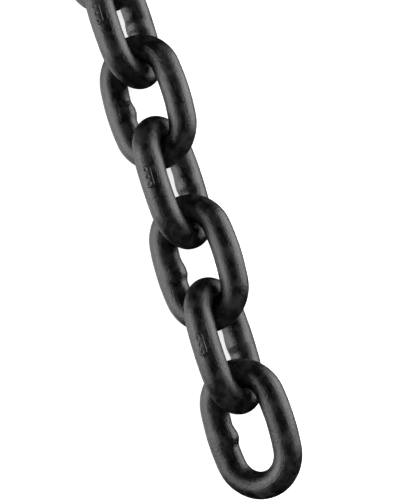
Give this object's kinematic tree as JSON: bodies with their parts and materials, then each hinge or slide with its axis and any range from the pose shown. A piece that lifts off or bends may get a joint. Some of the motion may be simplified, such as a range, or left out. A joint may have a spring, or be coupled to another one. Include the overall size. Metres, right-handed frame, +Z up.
{
  "type": "short link chain",
  "caption": "Straight run of short link lifting chain: stout welded oval links of round bar, each threaded through the next, lying leaned to alternate sides.",
  "frame": {"origin": "on the floor under the middle of the chain", "axes": "+X along the chain towards the link that hangs free in the picture, +Z up from the floor the links rest on"},
  "size_m": [1.0508, 0.0436, 0.0433],
  "materials": {
    "black_lacquer": "thin black lacquer over the dark scale of heat treated forged steel, satin, faintly mottled"
  },
  "bodies": {
    "link_01": {"link_01": "black_lacquer"},
    "link_02": {"link_02": "black_lacquer"},
    "link_03": {"link_03": "black_lacquer"},
    "link_04": {"link_04": "black_lacquer"},
    "link_05": {"link_05": "black_lacquer"},
    "link_06": {"link_06": "black_lacquer"},
    "link_07": {"link_07": "black_lacquer"},
    "link_08": {"link_08": "black_lacquer"},
    "link_09": {"link_09": "black_lacquer"},
    "link_10": {"link_10": "black_lacquer"},
    "link_11": {"link_11": "black_lacquer"},
    "link_12": {"link_12": "black_lacquer"},
    "link_13": {"link_13": "black_lacquer"},
    "link_14": {"link_14": "black_lacquer"},
    "link_15": {"link_15": "black_lacquer"},
    "link_16": {"link_16": "black_lacquer"},
    "link_17": {"link_17": "black_lacquer"},
    "link_18": {"link_18": "black_lacquer"},
    "link_19": {"link_19": "black_lacquer"},
    "link_20": {"link_20": "black_lacquer"},
    "link_21": {"link_21": "black_lacquer"}
  },
  "joints": [
    {"name": "swing_01_02", "type": "hinge", "parent": "link_01", "child": "link_02", "pos_m": [-0.45331, 0, 0.02177], "axis": [0, 0.7071, 0.7071], "range_deg": [-110, 110]},
    {"name": "swing_02_03", "type": "hinge", "parent": "link_02", "child": "link_03", "pos_m": [-0.40473, 0, 0.02177], "axis": [0, -0.7071, 0.7071], "range_deg": [-110, 110]},
    {"name": "swing_03_04", "type": "hinge", "parent": "link_03", "child": "link_04", "pos_m": [-0.35615, 0, 0.02177], "axis": [0, -0.7071, -0.7071], "range_deg": [-110, 110]},
    {"name": "swing_04_05", "type": "hinge", "parent": "link_04", "child": "link_05", "pos_m": [-0.30757, 0, 0.02177], "axis": [0, 0.7071, -0.7071], "range_deg": [-110, 110]},
    {"name": "swing_05_06", "type": "hinge", "parent": "link_05", "child": "link_06", "pos_m": [-0.25899, 0, 0.02177], "axis": [0, 0.7071, 0.7071], "range_deg": [-110, 110]},
    {"name": "swing_06_07", "type": "hinge", "parent": "link_06", "child": "link_07", "pos_m": [-0.21041, 0, 0.02177], "axis": [0, -0.7071, 0.7071], "range_deg": [-110, 110]},
    {"name": "swing_07_08", "type": "hinge", "parent": "link_07", "child": "link_08", "pos_m": [-0.16182, 0, 0.02177], "axis": [0, -0.7071, -0.7071], "range_deg": [-110, 110]},
    {"name": "swing_08_09", "type": "hinge", "parent": "link_08", "child": "link_09", "pos_m": [-0.11324, 0, 0.02177], "axis": [0, 0.7071, -0.7071], "range_deg": [-110, 110]},
    {"name": "swing_09_10", "type": "hinge", "parent": "link_09", "child": "link_10", "pos_m": [-0.06466, 0, 0.02177], "axis": [0, 0.7071, 0.7071], "range_deg": [-110, 110]},
    {"name": "swing_10_11", "type": "hinge", "parent": "link_10", "child": "link_11", "pos_m": [-0.01608, 0, 0.02177], "axis": [0, -0.7071, 0.7071], "range_deg": [-110, 110]},
    {"name": "swing_11_12", "type": "hinge", "parent": "link_11", "child": "link_12", "pos_m": [0.0325, 0, 0.02177], "axis": [0, -0.7071, -0.7071], "range_deg": [-110, 110]},
    {"name": "swing_12_13", "type": "hinge", "parent": "link_12", "child": "link_13", "pos_m": [0.08108, 0, 0.02177], "axis": [0, 0.7071, -0.7071], "range_deg": [-110, 110]},
    {"name": "swing_13_14", "type": "hinge", "parent": "link_13", "child": "link_14", "pos_m": [0.12966, 0, 0.02177], "axis": [0, 0.7071, 0.7071], "range_deg": [-110, 110]},
    {"name": "swing_14_15", "type": "hinge", "parent": "link_14", "child": "link_15", "pos_m": [0.17824, 0, 0.02177], "axis": [0, -0.7071, 0.7071], "range_deg": [-110, 110]},
    {"name": "swing_15_16", "type": "hinge", "parent": "link_15", "child": "link_16", "pos_m": [0.22682, 0, 0.02177], "axis": [0, -0.7071, -0.7071], "range_deg": [-110, 110]},
    {"name": "swing_16_17", "type": "hinge", "parent": "link_16", "child": "link_17", "pos_m": [0.27541, 0, 0.02177], "axis": [0, 0.7071, -0.7071], "range_deg": [-110, 110]},
    {"name": "swing_17_18", "type": "hinge", "parent": "link_17", "child": "link_18", "pos_m": [0.32399, 0, 0.02177], "axis": [0, 0.7071, 0.7071], "range_deg": [-110, 110]},
    {"name": "swing_18_19", "type": "hinge", "parent": "link_18", "child": "link_19", "pos_m": [0.37257, 0, 0.02177], "axis": [0, -0.7071, 0.7071], "range_deg": [-110, 110]},
    {"name": "swing_19_20", "type": "hinge", "parent": "link_19", "child": "link_20", "pos_m": [0.42115, 0, 0.02177], "axis": [0, -0.7071, -0.7071], "range_deg": [-110, 110]},
    {"name": "swing_20_21", "type": "hinge", "parent": "link_20", "child": "link_21", "pos_m": [0.46973, 0, 0.02177], "axis": [0, 0.7071, -0.7071], "range_deg": [-110, 110]}
  ]
}
